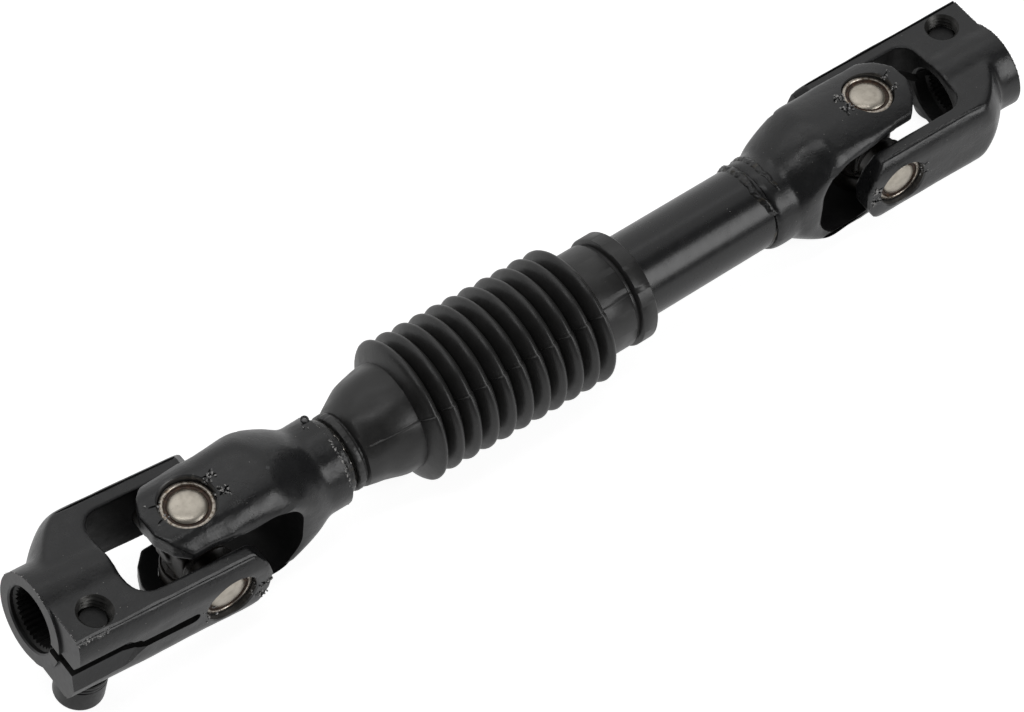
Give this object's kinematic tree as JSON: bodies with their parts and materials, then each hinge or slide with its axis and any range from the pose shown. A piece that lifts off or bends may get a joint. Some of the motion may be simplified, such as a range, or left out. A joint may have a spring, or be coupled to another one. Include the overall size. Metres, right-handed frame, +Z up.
{
  "type": "intermediate steering shaft",
  "caption": "Telescoping intermediate steering shaft with a bellows boot and a universal joint at each end, whose outer yokes clamp on splined shafts with pinch bolts.",
  "frame": {"origin": "centre of the footprint, at the lowest point of the shaft lying down", "axes": "+X along the shaft from the lower joint to the upper joint, +Y away from the lower pinch bolt, +Z up along the lower inner yoke's pin"},
  "size_m": [0.36, 0.0484, 0.0455],
  "materials": {
    "black_paint": "semi-gloss black electro-coat on forged steel",
    "tube_paint": "smooth semi-gloss black paint",
    "cup_steel": "turned steel with a dark groove",
    "bare_steel": "ground steel, lightly oiled",
    "dark_steel": "black phosphate",
    "weld_metal": "rough weld bead under black paint",
    "black_rubber": "matt moulded rubber",
    "nylon": "natural nylon"
  },
  "bodies": {
    "tube": {"shaft_tube": "tube_paint", "spline_sleeve": "nylon", "tube_wiper": "black_rubber", "tube_weld_bead": "weld_metal", "yoke_weld_bead": "weld_metal", "upper_inner_yoke": "black_paint", "upper_top_cup": "cup_steel", "upper_top_needles": "bare_steel", "upper_top_seal": "black_rubber", "upper_bottom_cup": "cup_steel", "upper_bottom_needles": "bare_steel", "upper_bottom_seal": "black_rubber", "bellows_boot": "black_rubber"},
    "sliding_end": {"sliding_shaft": "bare_steel", "lower_inner_yoke": "black_paint", "lower_top_cup": "cup_steel", "lower_top_needles": "bare_steel", "lower_top_seal": "black_rubber", "lower_bottom_cup": "cup_steel", "lower_bottom_needles": "bare_steel", "lower_bottom_seal": "black_rubber"},
    "lower_cross": {"lower_cross": "dark_steel"},
    "lower_clamp": {"lower_clamp_yoke": "black_paint", "lower_front_cup": "cup_steel", "lower_front_needles": "bare_steel", "lower_front_seal": "black_rubber", "lower_back_cup": "cup_steel", "lower_back_needles": "bare_steel", "lower_back_seal": "black_rubber"},
    "lower_washer": {"lower_pinch_washer": "dark_steel"},
    "lower_bolt": {"lower_pinch_bolt": "dark_steel"},
    "upper_cross": {"upper_cross": "dark_steel"},
    "upper_clamp": {"upper_clamp_yoke": "black_paint", "upper_front_cup": "cup_steel", "upper_front_needles": "bare_steel", "upper_front_seal": "black_rubber", "upper_back_cup": "cup_steel", "upper_back_needles": "bare_steel", "upper_back_seal": "black_rubber"},
    "upper_washer": {"upper_pinch_washer": "dark_steel"},
    "upper_bolt": {"upper_pinch_bolt": "dark_steel"}
  },
  "joints": [
    {"name": "telescope", "type": "slide", "parent": "tube", "child": "sliding_end", "axis": [1, 0, 0], "range_m": [-0.012, 0.025], "deforming": ["bellows_boot"]},
    {"name": "lower_cross_swing", "type": "hinge", "parent": "sliding_end", "child": "lower_cross", "pos_m": [-0.12631, 0.00084, 0.02256], "axis": [0, 0, 1], "range_deg": [-25, 25]},
    {"name": "lower_yoke_tilt", "type": "hinge", "parent": "lower_cross", "child": "lower_clamp", "pos_m": [-0.12631, 0.00084, 0.02256], "axis": [0, 1, 0], "range_deg": [-35, 15]},
    {"name": "lower_washer_travel", "type": "slide", "parent": "lower_clamp", "child": "lower_washer", "axis": [-0.1736, 0, -0.9848], "range_m": [0, 0.0075]},
    {"name": "lower_bolt_turn", "type": "hinge", "parent": "lower_washer", "child": "lower_bolt", "pos_m": [-0.16698, -0.01206, 0.02973], "axis": [-0.1736, 0, -0.9848], "range_deg": [0, 1800]},
    {"name": "upper_cross_swing", "type": "hinge", "parent": "tube", "child": "upper_cross", "pos_m": [0.12619, 0.00084, 0.02256], "axis": [0, 0.1045, 0.9945], "range_deg": [-20, 30]},
    {"name": "upper_yoke_tilt", "type": "hinge", "parent": "upper_cross", "child": "upper_clamp", "pos_m": [0.12619, 0.00084, 0.02256], "axis": [-0.0872, -0.9907, 0.1041], "range_deg": [-31, 19]},
    {"name": "upper_washer_travel", "type": "slide", "parent": "upper_clamp", "child": "upper_washer", "axis": [0.1041, -0.113, -0.9881], "range_m": [0, 0.0075]},
    {"name": "upper_bolt_turn", "type": "hinge", "parent": "upper_washer", "child": "upper_bolt", "pos_m": [0.16823, 0.01051, 0.02588], "axis": [0.1041, -0.113, -0.9881], "range_deg": [0, 1800]}
  ],
  "couplings": [
    {"joint": "lower_bolt_turn", "follows": "lower_washer_travel", "rad_per_m": 4188.8},
    {"joint": "upper_bolt_turn", "follows": "upper_washer_travel", "rad_per_m": 4188.8}
  ]
}
